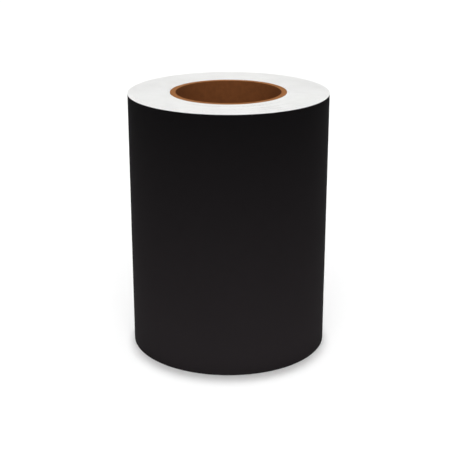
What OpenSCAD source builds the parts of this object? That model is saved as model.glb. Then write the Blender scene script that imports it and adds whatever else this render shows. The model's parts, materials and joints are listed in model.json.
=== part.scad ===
// Roll of black sign vinyl, standing on one end.
// The web is a film, an adhesive coat and a paper liner, wound together on a spiral-wound paperboard core.
// The outer turns are drawn layer by layer. All the turns inside them are one solid, inner_turns.
// The roll's axis is +Z. The origin is on that axis, on the face that the roll stands on.

/* [Web] */
// Width of the web, which is the height of the standing roll
web_w = 190.5; // [120:0.5:600]
// Length of the web, from the start tape to the tail
web_length = 45720; // [10000:10:60000]
// Thickness of the black face film
film_t = 0.05; // [0.04:0.005:0.1]
// Thickness of the adhesive coat on the film's back
adhesive_t = 0.03; // [0.02:0.005:0.05]
// Thickness of the coated paper liner
liner_t = 0.16; // [0.08:0.01:0.2]
// Turns at the outside of the roll that are drawn layer by layer
outer_turns = 2; // [1:1:4]
// Angle of the tail's edge around the roll, from +X
tail_angle = 110; // [0:5:355]

/* [Core] */
// Bore of the core
bore_d = 76.2; // [25.4:0.1:152.4]
// Thickness of the smooth ply that lines the bore
inner_ply_t = 0.4; // [0.2:0.05:0.6]
// Thickness of each ply in the middle of the wall
body_ply_t = 0.68; // [0.4:0.02:1]
// Thickness of the smooth ply that the web is wound on
outer_ply_t = 0.3; // [0.2:0.05:0.6]

/* [Start tape] */
// Length of the start tape around the core
start_tape_l = 25; // [10:1:50]
// Thickness of the start tape
start_tape_t = 0.1; // [0.05:0.01:0.15]

/* [Tail tabs] */
// Height of each tab, which is the width of its tape
tab_w = 19; // [10:1:25]
// Length of each tab around the roll
tab_l = 48; // [20:1:60]
// Thickness of the tabs
tab_t = 0.06; // [0.05:0.01:0.15]
// Distance of each tab's middle from the nearer end of the roll
tab_inset = 38; // [20:0.5:45]

/* [Hidden] */
$fn = 180;

bore_r = bore_d / 2;
body_plies = 5;
body_ply_r = bore_r + inner_ply_t;
outer_ply_r = body_ply_r + body_plies * body_ply_t;
core_r = outer_ply_r + outer_ply_t;

// A turn takes up its three layers, rounded up so that the spiral's arcs meet on whole microns.
pitch_step = 0.004;
layers_t = film_t + adhesive_t + liner_t;
pitch = pitch_step * ceil(layers_t / pitch_step - 0.001);

// A web of n turns from the core out is PI * n * (2 * core_r + pitch + n * pitch) long, which
// is solved for n and taken to the nearest half turn.
first_turn_d = 2 * core_r + pitch;
half_turns = round((sqrt(first_turn_d * first_turn_d + 4 * pitch * web_length / PI) - first_turn_d) / pitch);
inner_half_turns = half_turns - 2 * outer_turns;
tail_r = core_r + pitch * half_turns / 2;
web_turn = tail_angle - 180 * half_turns;
cut_size = 2 * tail_r;

kraft_brown = [0.38, 0.22, 0.12];
board_tan = [0.58, 0.39, 0.24];
liner_white = [0.93, 0.93, 0.92];
adhesive_grey = [0.80, 0.80, 0.76];
film_black = [0.08, 0.075, 0.078];
tape_clear = [0.75, 0.76, 0.74];

// Half of a disc, on the +Y side or the -Y side. The two sides have centres a quarter pitch
// from the axis, so halves whose radii differ by half a pitch join into a spiral.
module half_disc(side, r) {
    translate([-side * pitch / 4, 0])
        intersection() {
            circle(r);
            translate([-cut_size, side > 0 ? 0 : -cut_size])
                square([2 * cut_size, cut_size]);
        }
}

module half_ring(side, r, t) {
    difference() {
        half_disc(side, r + t);
        half_disc(side, r);
    }
}

// Radius of the arc at half turn number k, in a spiral that starts at radius r.
function arc_r(r, k) = r + pitch * (1 / 4 + k / 2);

// The side that half turn number k lies on: +1 is the +Y side.
function side_of(k) = k % 2 == 0 ? 1 : -1;

// Angle in degrees that a length takes up around a radius.
function turned(length, r) = length / r * 180 / PI;

// A wedge of the plane from angle a to angle b, which are less than 180 degrees apart.
module wedge(a, b) {
    reach = 2 * cut_size;
    middle = (a + b) / 2;
    polygon([[0, 0], reach * [cos(a), sin(a)], reach * [cos(middle), sin(middle)],
             reach * [cos(b), sin(b)]]);
}

module core_ply(r, t) {
    linear_extrude(web_w)
        difference() {
            circle(r + t);
            circle(r);
        }
}

module core_inner_ply() { color(kraft_brown) core_ply(bore_r, inner_ply_t); }

module core_body_ply(number) {
    color(board_tan) core_ply(body_ply_r + (number - 1) * body_ply_t, body_ply_t);
}

module core_outer_ply() { color(board_tan) core_ply(outer_ply_r, outer_ply_t); }

module start_tape_solid() {
    rotate(web_turn)
        linear_extrude(web_w)
            intersection() {
                difference() {
                    circle(core_r + start_tape_t);
                    circle(core_r);
                }
                wedge(0, turned(start_tape_l, core_r));
            }
}

// The strip that holds the web's first end to the core, under the first turn.
module start_tape() { color(tape_clear) start_tape_solid(); }

// The wound web from the core to the outer turns, with room for the start tape.
module inner_turns() {
    color(liner_white)
        difference() {
            rotate(web_turn)
                linear_extrude(web_w)
                    difference() {
                        for (k = [inner_half_turns - 2, inner_half_turns - 1])
                            half_disc(side_of(k), arc_r(core_r, k) + pitch);
                        circle(core_r);
                    }
            start_tape_solid();
        }
}

// One layer of the web over the outer turns. Its height is measured from the web's inner face.
module web_layer(height, t) {
    rotate(web_turn)
        linear_extrude(web_w)
            for (k = [inner_half_turns : half_turns - 1])
                half_ring(side_of(k), arc_r(core_r + height, k), t);
}

module release_liner() { color(liner_white) web_layer(0, liner_t); }

module adhesive_coat() { color(adhesive_grey) web_layer(liner_t, adhesive_t); }

module vinyl_film() { color(film_black) web_layer(liner_t + adhesive_t, film_t); }

// A tape tab that lies on the tail, drops over its edge and lies on the turn below.
module tail_tab(middle) {
    surface_r = core_r + layers_t;
    half_angle = turned(tab_l / 2, tail_r);
    color(tape_clear)
        rotate(tail_angle)
            translate([0, 0, middle - tab_w / 2])
                linear_extrude(tab_w) {
                    intersection() {
                        half_ring(-1, arc_r(surface_r, half_turns - 1), tab_t);
                        wedge(-half_angle, 0);
                    }
                    intersection() {
                        half_ring(1, arc_r(surface_r, half_turns - 2), tab_t);
                        wedge(0, half_angle);
                    }
                    translate([tail_r - pitch + layers_t, 0]) square([pitch + tab_t, tab_t]);
                }
}

module tail_tab_lower() { tail_tab(tab_inset); }

module tail_tab_upper() { tail_tab(web_w - tab_inset); }

core_inner_ply();
core_body_ply(1);  // core_body_ply_1
core_body_ply(2);  // core_body_ply_2
core_body_ply(3);  // core_body_ply_3
core_body_ply(4);  // core_body_ply_4
core_body_ply(5);  // core_body_ply_5
core_outer_ply();
start_tape();
inner_turns();
release_liner();
adhesive_coat();
vinyl_film();
tail_tab_lower();
tail_tab_upper();
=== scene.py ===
"""Roll of black sign vinyl, standing on one end: its looks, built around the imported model."""

import json
import math
import random

import bpy
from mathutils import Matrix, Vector


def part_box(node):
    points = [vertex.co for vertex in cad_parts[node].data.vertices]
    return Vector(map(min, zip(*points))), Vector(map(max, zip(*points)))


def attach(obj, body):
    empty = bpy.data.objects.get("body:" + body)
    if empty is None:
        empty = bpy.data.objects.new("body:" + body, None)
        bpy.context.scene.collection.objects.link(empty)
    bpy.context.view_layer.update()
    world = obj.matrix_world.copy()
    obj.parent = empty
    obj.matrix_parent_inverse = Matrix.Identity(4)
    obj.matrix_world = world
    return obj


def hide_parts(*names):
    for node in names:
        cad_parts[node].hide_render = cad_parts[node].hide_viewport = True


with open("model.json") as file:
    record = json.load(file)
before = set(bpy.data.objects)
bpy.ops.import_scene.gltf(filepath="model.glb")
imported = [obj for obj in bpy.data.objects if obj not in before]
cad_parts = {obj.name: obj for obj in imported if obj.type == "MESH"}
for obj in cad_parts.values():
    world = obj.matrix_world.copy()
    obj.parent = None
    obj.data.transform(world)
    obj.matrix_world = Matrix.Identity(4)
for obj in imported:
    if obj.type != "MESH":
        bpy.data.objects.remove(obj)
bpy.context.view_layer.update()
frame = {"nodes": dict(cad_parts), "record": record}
MM = 0.001


# ---------------------------------------------------------------- Core plies
# The core is wound from strips of kraft paperboard that run round it in a helix, each strip's
# edges butted with a hair of a gap. The plies are glued one on another and sawn square at the
# ends, where each shows as a thin ring.
PLIES = ["core_inner_ply"] + [f"core_body_ply_{n}" for n in range(1, 6)] + ["core_outer_ply"]
PLY_COLUMNS = 128  # flat facets round the core
HELIX_LEAD = 112 * MM  # rise of a strip in one turn
SEAM_GAP = 0.35 * MM
SAME_POINT = 0.005 * MM  # points of a mesh that are nearer than this are merged
CUT_ACCURACY = 0.0001 * MM
FIRST_SEAM = 0.52  # share of the lead at which the lining's seam starts
SEAM_STEP = 0.37  # share of the lead from one ply's seam to the next ply's
SAWN_EDGE = 0.05 * MM  # width of the rounding along the sawn edges
SAWN_CORNER = math.radians(40)  # edges sharper than this are rounded
PLY_SMOOTH = math.radians(15)  # faces that meet at less than this are shaded as one
PLY_TONE = 0.06  # most that a ply is lighter or darker than plain board
PLY_TONE_STEP = 2.4  # radians along a sine wave from one ply's tone to the next

KRAFT_RING = (0.308, 0.121, 0.034)  # sawn board
KRAFT_WALL = (0.260, 0.088, 0.025)  # smooth lining paper

# A noise is given as its grains in a metre, its levels of detail and how strong the finer ones are.
KRAFT_FIBRES = (3800, 7, 0.68)
KRAFT_CLOUDS = (260, 4, 0.6)
KRAFT_FLECKS = (5200, 3, 0.5)
FIBRE_SQUEEZE = (1, 1, 2.2)  # fibres lie round the core, so they are finer along its axis
FLECK_SQUEEZE = (1, 1, 3)
LINING_NAP = 0.03 * MM
BOARD_NAP = 0.07 * MM


def set_socket(socket, value):
    """Sets a shader socket. A colour is given as its red, green and blue."""
    socket.default_value = (*value, 1) if socket.type == "RGBA" else value


class Signal:
    """A shader socket that can be added, subtracted and multiplied like a number."""

    def __init__(self, socket):
        self.socket = socket

    def node(self, kind, settings=None, inputs=None, output=0):
        """Adds a node to this socket's tree and returns one of its outputs as a Signal."""
        tree = self.socket.id_data
        node = tree.nodes.new(kind)
        for name, value in (settings or {}).items():
            setattr(node, name, value)
        for name, value in (inputs or {}).items():
            if isinstance(value, Signal):
                tree.links.new(value.socket, node.inputs[name])
            else:
                set_socket(node.inputs[name], value)
        return Signal(node.outputs[output])

    def maths(self, operation, first, second=0.0):
        return self.node("ShaderNodeMath", {"operation": operation}, {0: first, 1: second})

    def __add__(self, other):
        return self.maths("ADD", self, other)

    def __radd__(self, other):
        return self.maths("ADD", other, self)

    def __sub__(self, other):
        return self.maths("SUBTRACT", self, other)

    def __rsub__(self, other):
        return self.maths("SUBTRACT", other, self)

    def __mul__(self, other):
        return self.maths("MULTIPLY", self, other)

    def __rmul__(self, other):
        return self.maths("MULTIPLY", other, self)

    def stretched(self, scale):
        """This position with each axis scaled, for a pattern that is finer along one of them."""
        return self.node("ShaderNodeMapping", None, {"Vector": self, "Scale": scale})

    def noise(self, scale, detail, roughness):
        """Noise from 0 to 1 at this position, with grains 1 / scale across."""
        values = {"Vector": self, "Scale": scale, "Detail": detail, "Roughness": roughness}
        return self.node("ShaderNodeTexNoise", None, values)

    def between(self, low, high):
        """0 where this value is at or under low, 1 at or over high, and smooth between."""
        values = {"Value": self, "From Min": low, "From Max": high}
        return self.node("ShaderNodeMapRange", {"interpolation_type": "SMOOTHSTEP"}, values)

    def colours(self, low, high):
        """One colour where this value is 0 and another where it is 1."""
        inputs = {0: self, 6: low, 7: high}
        return self.node("ShaderNodeMix", {"data_type": "RGBA"}, inputs, 2)

    def bumps(self, height, strength):
        """A normal from this value, which stands for a relief of that height in metres."""
        values = {"Height": self, "Distance": height, "Strength": strength}
        return self.node("ShaderNodeBump", None, values)

    def into(self, surface, name):
        """Links this value or colour to a socket of the surface shader."""
        self.socket.id_data.links.new(self.socket, surface.inputs[name])


def start_material(name, **constants):
    """A material, its surface shader with the constant sockets set, and the piece's position."""
    material = bpy.data.materials.new(name)
    material.use_nodes = True
    tree = material.node_tree
    surface = tree.nodes["Principled BSDF"]
    for socket, value in constants.items():
        set_socket(surface.inputs[socket.replace("_", " ")], value)
    place = Signal(tree.nodes.new("ShaderNodeTexCoord").outputs["Object"])
    return material, surface, place


def kraft_board(name, colour, lining):
    """Paperboard: fibres that lie round the core, clouds of pulp, pale flecks and a fine nap."""
    material, surface, place = start_material(name, Roughness=0.85, Specular_IOR_Level=0.2)
    fibres = place.stretched(FIBRE_SQUEEZE).noise(*KRAFT_FIBRES)
    clouds = place.noise(*KRAFT_CLOUDS)
    tone = fibres.between(0.30, 0.72) * 0.75 + clouds.between(0.3, 0.7) * 0.25
    darker = [0.70 * part for part in colour]
    lighter = [1.25 * part for part in colour]
    pale = [0.25 + 0.75 * part for part in colour]
    flecks = place.stretched(FLECK_SQUEEZE).noise(*KRAFT_FLECKS).between(0.70, 0.80) * 0.5
    flecks.colours(tone.colours(darker, lighter), pale).into(surface, "Base Color")
    nap = LINING_NAP if lining else BOARD_NAP
    (fibres + clouds * 0.3).bumps(nap, 0.6).into(surface, "Normal")
    return material


def only(piece):
    """Selects one piece and makes it the active one."""
    bpy.ops.object.select_all(action="DESELECT")
    piece.select_set(True)
    bpy.context.view_layer.objects.active = piece


def add_modifier(piece, kind, **settings):
    """Adds a modifier, sets it and applies it."""
    only(piece)
    modifier = piece.modifiers.new(kind.title(), kind)
    for name, value in settings.items():
        setattr(modifier, name, value)
    bpy.ops.object.modifier_apply(modifier=modifier.name)


def bend_to_ring(piece, length, radius):
    """Bends a flat sheet that is length long in X into a circle round the Z axis, or part of one."""
    add_modifier(
        piece, "SIMPLE_DEFORM", deform_method="BEND", deform_axis="Z", angle=length / radius
    )
    piece.location.y = -radius
    bpy.ops.object.transform_apply(location=True)


def close_and_face_out(piece):
    """Merges the edges that meet and turns the faces outwards."""
    only(piece)
    bpy.ops.object.mode_set(mode="EDIT")
    bpy.ops.mesh.select_all(action="SELECT")
    bpy.ops.mesh.remove_doubles(threshold=SAME_POINT)
    bpy.ops.mesh.normals_make_consistent(inside=False)
    bpy.ops.object.mode_set(mode="OBJECT")


def cut_seam(piece, length, rise_per_length, height, start):
    """Cuts a slanting gap through a flat sheet in the XZ plane, at each height where it recurs."""
    slope = math.atan(rise_per_length)
    across = Vector((-math.sin(slope), 0, math.cos(slope)))
    lead = length * rise_per_length
    crossings = range(-1, int(height / lead) + 2)
    middles = [Vector((0, 0, start + lead * n)) for n in crossings]
    bpy.ops.object.mode_set(mode="EDIT")
    for middle in middles:
        for side in (-0.5, 0.5):
            bpy.ops.mesh.select_all(action="SELECT")
            bpy.ops.mesh.bisect(
                plane_co=middle + across * SEAM_GAP * side, plane_no=across, threshold=CUT_ACCURACY
            )
    bpy.ops.mesh.select_all(action="DESELECT")
    bpy.ops.mesh.select_mode(type="FACE")
    bpy.ops.object.mode_set(mode="OBJECT")
    for face in piece.data.polygons:
        face.select = any(abs((face.center - m).dot(across)) < SEAM_GAP / 2 for m in middles)
    bpy.ops.object.mode_set(mode="EDIT")
    bpy.ops.mesh.delete(type="FACE")
    bpy.ops.object.mode_set(mode="OBJECT")


def wind_ply(node, inner_radius, seam_start, material):
    """One ply as a helical strip: a flat sheet with its slanting seam cut, bent round and thickened."""
    low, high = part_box(node)
    outer_radius = high.x
    radius = (inner_radius + outer_radius) / 2
    length = math.tau * radius
    height = high.z - low.z
    bpy.ops.object.select_all(action="DESELECT")
    bpy.ops.mesh.primitive_grid_add(
        x_subdivisions=PLY_COLUMNS,
        y_subdivisions=1,
        size=1,
        rotation=(math.pi / 2, 0, 0),
        location=(0, 0, (low.z + high.z) / 2),
    )
    piece = bpy.context.active_object
    piece.name = node + "_strip"
    piece.scale = (length, height, 1)
    bpy.ops.object.transform_apply(location=True, rotation=True, scale=True)
    cut_seam(piece, length, HELIX_LEAD / length, height, low.z + seam_start * HELIX_LEAD)
    bend_to_ring(piece, length, radius)
    close_and_face_out(piece)
    add_modifier(
        piece, "SOLIDIFY", thickness=outer_radius - inner_radius, offset=0, use_even_offset=True
    )
    add_modifier(piece, "BEVEL", width=SAWN_EDGE, segments=2, angle_limit=SAWN_CORNER)
    bpy.ops.object.shade_smooth_by_angle(angle=PLY_SMOOTH)
    piece.data.materials.append(material)
    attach(piece, "root")
    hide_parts(node)
    return outer_radius


bore = next(mount for mount in frame["record"]["mounts"] if mount["name"] == "core_bore")
core_radius = bore["dims"]["r_mm"] * MM
for count, ply in enumerate(PLIES):
    if count:
        tone = 1 + PLY_TONE * math.sin(PLY_TONE_STEP * count)
        board = kraft_board(f"core_board_{count}", [tone * part for part in KRAFT_RING], False)
    else:
        board = kraft_board("kraft_lining", KRAFT_WALL, True)
    core_radius = wind_ply(ply, core_radius, (FIRST_SEAM + SEAM_STEP * count) % 1, board)


# ---------------------------------------------------------------- Wound web
# The web is a black film with a clear adhesive on its back, laid on a white release liner and
# slit to width. All three are wound together, liner inwards, and each layer is one long strip
# here from the core to the tail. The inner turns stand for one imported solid, the last two for
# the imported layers.
LINER = 0.16 * MM
ADHESIVE = 0.03 * MM
FILM = 0.05 * MM
TAIL_ANGLE = math.radians(110)
OUTER_HALF_TURNS = 4  # the last two turns
INNER_COLUMNS = 64  # flat facets in half a turn
OUTER_COLUMNS = 180
EDGE_WANDER = 0.05 * MM  # most that a turn's edges lie inside the web's full width
EDGE_SEED = 5
FILM_SET_IN = 0.03 * MM  # the blade leaves the film and adhesive just under the paper
STRIP_SMOOTH = math.radians(35)  # faces that meet at less than this are shaded as one

FILM_BLACK = (0.0050, 0.0045, 0.0049)
# The film's colour at its foot, painted lighter as if lit from the floor, and the colour of its dust
# specks.
FILM_FLOOR_LIT_AND_DUSTY = (0.0192, 0.0164, 0.0176)
FILM_CUT = (0.55, 0.55, 0.55)  # the slit edge, under white dust from the paper
FILM_SHINE = 0.03
FILM_ROUGHNESS = 0.78
FILM_PEEL = (900, 2, 0.5)
FILM_PEEL_HEIGHT = 0.004 * MM
FILM_DRAWN = (160, 3, 0.55)
DRAWN_SQUEEZE = (1, 1, 9)  # the marks of coating and slitting run along the web
# Patches that vary the film's roughness and how strong its painted light is.
FILM_PATCHES = (22, 3, 0.5)
DUST_SPECKS = (2600, 2, 0.5)

LINER_WHITE = (0.905, 0.905, 0.895)
LINER_SHADE = (0.85, 0.85, 0.84)
LINER_TOOTH = (1500, 4, 0.6)
LINER_TOOTH_HEIGHT = 0.01 * MM
LINER_CLOUDS = (70, 3, 0.5)

ADHESIVE_GREY = (0.74, 0.74, 0.71)
ADHESIVE_SMEAR = (700, 3, 0.5)
ADHESIVE_SMEAR_HEIGHT = 0.006 * MM

low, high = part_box("vinyl_film")
web_bottom, web_top = low.z, high.z
roll_radius = (high.x - low.x + high.y - low.y) / 4
pitch = LINER + ADHESIVE + FILM
# The roll's radius is the core's, half a pitch for each half turn, and half a pitch more.
half_turns = round(2 * (roll_radius - core_radius) / pitch) - 1
inner_half_turns = half_turns - OUTER_HALF_TURNS
wander = random.Random(EDGE_SEED)
turn_drops = [wander.random() * EDGE_WANDER for _ in range(half_turns // 2 + 3)]


def edge_drop(half_turn):
    """How far the web's edges lie inside its full width, that many half turns from its start."""
    turn, share = divmod(half_turn / 2, 1)
    return turn_drops[int(turn)] * (1 - share) + turn_drops[int(turn) + 1] * share


def wind_layer(name, height, thickness, turns, columns, set_in):
    """One layer's strip, wound on half circles whose centres lie a quarter pitch off the axis."""
    width = web_top - web_bottom
    path = bpy.data.curves.new(name, "CURVE")
    path.dimensions = "3D"
    path.twist_mode = "Z_UP"
    path.extrude = width / 2
    line = path.splines.new("POLY")
    steps = [(half, step) for half in turns for step in range(columns)] + [(turns[-1], columns)]
    line.points.add(len(steps) - 1)
    for point, (half, step) in zip(line.points, steps):
        progress = half + step / columns
        angle = math.pi * (progress - half_turns) + TAIL_ANGLE
        towards = math.pi * (half - half_turns) + TAIL_ANGLE
        radius = core_radius + pitch * (0.25 + half / 2) + height + thickness / 2
        point.co = (
            radius * math.cos(angle) - pitch / 4 * math.cos(towards),
            radius * math.sin(angle) - pitch / 4 * math.sin(towards),
            (web_bottom + web_top) / 2,
            1,
        )
        # A point's radius scales the strip's width there, which draws in both edges alike.
        point.radius = 1 - 2 * (edge_drop(progress) + set_in) / width
    piece = bpy.data.objects.new(name, path)
    bpy.context.scene.collection.objects.link(piece)
    only(piece)
    bpy.ops.object.convert(target="MESH")
    piece = bpy.context.active_object
    close_and_face_out(piece)
    add_modifier(piece, "SOLIDIFY", thickness=thickness, offset=0, use_even_offset=True)
    bpy.ops.object.shade_smooth_by_angle(angle=STRIP_SMOOTH)
    return piece


def slit_edges(place):
    """1 where a surface faces up or down the roll's axis, as the slit edges do, and 0 elsewhere."""
    normal = Signal(place.socket.node.outputs["Normal"])
    upward = normal.node("ShaderNodeSeparateXYZ", None, {"Vector": normal}, 2)
    return upward.maths("ABSOLUTE", upward).between(0.6, 0.9)


def sign_film():
    """Matte black film: a faint orange peel, specks of paper dust, and painted light that makes it
    lighter towards the end it stands on.
    """
    material, surface, place = start_material("black_film", Specular_IOR_Level=FILM_SHINE)
    peel = place.noise(*FILM_PEEL)
    drawn = place.stretched(DRAWN_SQUEEZE).noise(*FILM_DRAWN)
    patches = place.noise(*FILM_PATCHES)
    specks = place.noise(*DUST_SPECKS).between(0.74, 0.78)
    height = place.node("ShaderNodeSeparateXYZ", None, {"Vector": place}, 2)
    # Painted light: the film is darker at the top and lighter towards the floor, in patches; specks of
    # paper dust lie over it.
    painted_floor_light_and_dust = (1 - height * (1 / web_top)) * (0.80 + patches * 0.2 + peel * 0.2)
    face = (painted_floor_light_and_dust + specks * 0.6).colours(FILM_BLACK, FILM_FLOOR_LIT_AND_DUSTY)
    slit_edges(place).colours(face, FILM_CUT).into(surface, "Base Color")
    (FILM_ROUGHNESS + patches * 0.10 + drawn * 0.08).into(surface, "Roughness")
    (peel + drawn * 0.4).bumps(FILM_PEEL_HEIGHT, 0.5).into(surface, "Normal")
    return material


def liner_paper():
    """Clay-coated white paper: a smooth face with a soft tooth, greyer in its hollows by painted shade,
    and greyer in soft clouds.
    """
    material, surface, place = start_material("liner_paper", Roughness=0.6, Specular_IOR_Level=0.3)
    tooth = place.noise(*LINER_TOOTH)
    clouds = place.noise(*LINER_CLOUDS)
    # Painted shade: the paper is greyer in the tooth's hollows; clouds of greyer tone mix in.
    painted_shade_and_clouds = (tooth * 0.6 + clouds * 0.5).between(0.35, 0.75)
    painted_shade_and_clouds.colours(LINER_SHADE, LINER_WHITE).into(surface, "Base Color")
    tooth.bumps(LINER_TOOTH_HEIGHT, 0.5).into(surface, "Normal")
    return material


def soft_adhesive():
    """Clear acrylic adhesive, milky where the blade has dragged it."""
    material, surface, place = start_material("adhesive", Roughness=0.25)
    smear = place.noise(*ADHESIVE_SMEAR)
    smear.between(0.3, 0.7).colours(ADHESIVE_GREY, LINER_WHITE).into(surface, "Base Color")
    smear.bumps(ADHESIVE_SMEAR_HEIGHT, 0.6).into(surface, "Normal")
    return material


layers = [
    ("liner", "release_liner", "liner_paper", 0.0, LINER, 0.0, liner_paper()),
    ("adhesive", "adhesive_coat", "adhesive", LINER, ADHESIVE, FILM_SET_IN, soft_adhesive()),
    ("film", "vinyl_film", "black_film", LINER + ADHESIVE, FILM, FILM_SET_IN, sign_film()),
]
stretches = [
    ("inner_turns", range(inner_half_turns), INNER_COLUMNS),
    ("outer_turns", range(inner_half_turns, half_turns), OUTER_COLUMNS),
]
for layer, node, slot, height, thickness, set_in, material in layers:
    for stretch, turns, columns in stretches:
        strip = wind_layer(f"{layer}_{stretch}", height, thickness, turns, columns, set_in)
        strip.data.materials.append(material)
        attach(strip, "root")
        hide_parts("inner_turns" if stretch == "inner_turns" else node)


# ---------------------------------------------------------------- Tapes
# A strip of clear tape across the core grips the web's first end, and only its two ends show, as
# a hair line under the first turn. Two tabs of the same tape hold the tail down. Each lies on the
# tail, drops over its edge and lies on the turn below, and was torn off on a toothed blade.
TAB_THICKNESS = 0.06 * MM
TAB_LENGTH = 48 * MM
TAB_COLUMNS = 96  # flat facets along a tab
TOOTH_DEPTH = 0.4 * MM
TOOTH_PITCH = 1.0 * MM

TAPE_MILK = (0.62, 0.63, 0.62)
TAPE_CLEAREST = 0.025  # share of the tape's own colour that shows where it lies closest
TAPE_CLOUDS = (120, 3, 0.5)
TAPE_BUBBLES = (900, 3, 0.55)
TAPE_RIPPLE = (320, 3, 0.5)
TAPE_RIPPLE_HEIGHT = 0.02 * MM
RIPPLE_STRETCH = (1, 1, 0.35)


def clear_tape():
    """Clear tape: a glossy film, milky in clouds, with small bubbles of air under it."""
    material, surface, place = start_material("clear_tape", Base_Color=TAPE_MILK, Roughness=0.12)
    clouds = place.noise(*TAPE_CLOUDS).between(0.35, 0.65)
    bubbles = place.noise(*TAPE_BUBBLES).between(0.60, 0.66)
    (TAPE_CLEAREST + clouds * 0.03 + bubbles * 0.10).into(surface, "Alpha")
    ripple = place.stretched(RIPPLE_STRETCH).noise(*TAPE_RIPPLE)
    ripple.bumps(TAPE_RIPPLE_HEIGHT, 0.5).into(surface, "Normal")
    return material


def lay_tab(node, material):
    """One tab: a flat strip with toothed ends, stepped down past the tail's edge and bent round."""
    low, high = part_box(node)
    height = high.z - low.z
    teeth = 2 * round(height / TOOTH_PITCH)
    bpy.ops.object.select_all(action="DESELECT")
    bpy.ops.mesh.primitive_grid_add(
        x_subdivisions=TAB_COLUMNS,
        y_subdivisions=teeth,
        size=1,
        rotation=(math.pi / 2, 0, 0),
        location=(0, 0, (low.z + high.z) / 2),
    )
    tab = bpy.context.active_object
    tab.scale = (TAB_LENGTH, height, 1)
    bpy.ops.object.transform_apply(location=True, rotation=True, scale=True)
    half_column = TAB_LENGTH / TAB_COLUMNS / 2
    past_tail = [vertex.co.x > half_column for vertex in tab.data.vertices]
    for vertex, past in zip(tab.data.vertices, past_tail):
        row = round((vertex.co.z - low.z) / height * teeth)
        if row % 2 and abs(vertex.co.x) > TAB_LENGTH / 2 - half_column:
            vertex.co.x -= math.copysign(TOOTH_DEPTH, vertex.co.x)
        if past:
            vertex.co.y += pitch / 2
    # From one half turn to the next, the web's arcs grow by half a pitch and move by half a pitch.
    tail_radius = core_radius + pitch * (half_turns / 2 + 0.75)
    bend_to_ring(tab, TAB_LENGTH, tail_radius + TAB_THICKNESS / 2)
    for vertex, past in zip(tab.data.vertices, past_tail):
        vertex.co.y += pitch / 4 if past else -pitch / 4
    tab.rotation_euler.z = TAIL_ANGLE + math.pi / 2
    bpy.ops.object.transform_apply(rotation=True)
    close_and_face_out(tab)
    add_modifier(tab, "SOLIDIFY", thickness=TAB_THICKNESS, offset=0, use_even_offset=True)
    bpy.ops.object.shade_smooth_by_angle(angle=STRIP_SMOOTH)
    tab.data.materials.append(material)
    return tab


tape = clear_tape()
tape_strip = frame["nodes"]["start_tape"].data
tape_strip.materials.clear()
tape_strip.materials.append(tape)

lower_tab = lay_tab("tail_tab_lower", tape)
only(lower_tab)
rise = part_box("tail_tab_upper")[0].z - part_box("tail_tab_lower")[0].z
bpy.ops.object.duplicate(linked=False)
upper_tab = bpy.context.active_object
upper_tab.location.z = rise
bpy.ops.object.transform_apply(location=True)
for tab, node in [(lower_tab, "tail_tab_lower"), (upper_tab, "tail_tab_upper")]:
    tab.name = node + "_strip"
    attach(tab, "root")
    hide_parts(node)


# ---------------------------------------------------------------- Floor, light and camera
# A plain pale floor under soft light, seen from a little above the roll. An overhead light draws
# the shadow round its foot, and a broad light behind the camera fills in the front and the bore.
FLOOR_SIZE = 20  # metres
FLOOR_WHITE = (0.985, 0.985, 0.985)
DOME_SHARE = 0.45  # the dome's radius as a share of the floor's side
DOME_COLUMNS = 48
DOME_ROWS = 24
SKY_STRENGTH = 0.37
OVERHEAD_STRENGTH = 1.64
OVERHEAD_LEANS = (1.9, 3.9)  # degrees; two suns close together stand for one long light
OVERHEAD_WIDTH = 3.6  # degrees
FILL_STRENGTH = 1.10
FILL_LEAN = -48  # degrees; it leans to the front, over the camera
FILL_WIDTH = 50  # degrees

bpy.ops.mesh.primitive_plane_add(size=FLOOR_SIZE)
floor = bpy.context.active_object
floor.name = "floor"
floor_paint = start_material(
    "floor", Base_Color=FLOOR_WHITE, Roughness=0.9, Specular_IOR_Level=0.0
)[0]
floor.data.materials.append(floor_paint)

# Round the floor stands a pale dome, which only shows and neither lights nor shades.
bpy.ops.mesh.primitive_uv_sphere_add(
    segments=DOME_COLUMNS, ring_count=DOME_ROWS, radius=DOME_SHARE * FLOOR_SIZE
)
dome = bpy.context.active_object
dome.name = "dome"
dome_paint = start_material(
    "dome", Base_Color=(0, 0, 0), Emission_Color=(1, 1, 1), Emission_Strength=1.0
)[0]
dome.data.materials.append(dome_paint)
for light_path in ["diffuse", "glossy", "transmission", "shadow"]:
    setattr(dome, "visible_" + light_path, False)

world = bpy.data.worlds.new("studio")
bpy.context.scene.world = world
world.use_nodes = True
sky = world.node_tree.nodes["Background"]
set_socket(sky.inputs["Color"], (1, 1, 1))
set_socket(sky.inputs["Strength"], SKY_STRENGTH)


def add_sun(name, strength, lean, width):
    """A far source, both angles in degrees: it leans to the back, and is that wide in the sky."""
    bpy.ops.object.light_add(type="SUN", rotation=(math.radians(-lean), 0, 0))
    sun = bpy.context.active_object
    sun.name = name
    sun.data.energy = strength
    sun.data.angle = math.radians(width)


for count, lean in enumerate(OVERHEAD_LEANS, 1):
    add_sun(f"overhead_{count}", OVERHEAD_STRENGTH / len(OVERHEAD_LEANS), lean, OVERHEAD_WIDTH)
add_sun("front_fill", FILL_STRENGTH, FILL_LEAN, FILL_WIDTH)

SENSOR = 36  # millimetres, as the lens is
LENS = 85.55
CAMERA_PLACE = Vector((0.005, -10.628, 4.904))  # in radii of the roll
CAMERA_TILT = math.radians(19.33)  # down from level
bpy.ops.object.camera_add(
    location=CAMERA_PLACE * roll_radius, rotation=(math.pi / 2 - CAMERA_TILT, 0, 0)
)
camera = bpy.context.active_object
camera.data.sensor_width = SENSOR
camera.data.lens = LENS
bpy.context.scene.camera = camera
bpy.context.scene.view_settings.view_transform = "Standard"
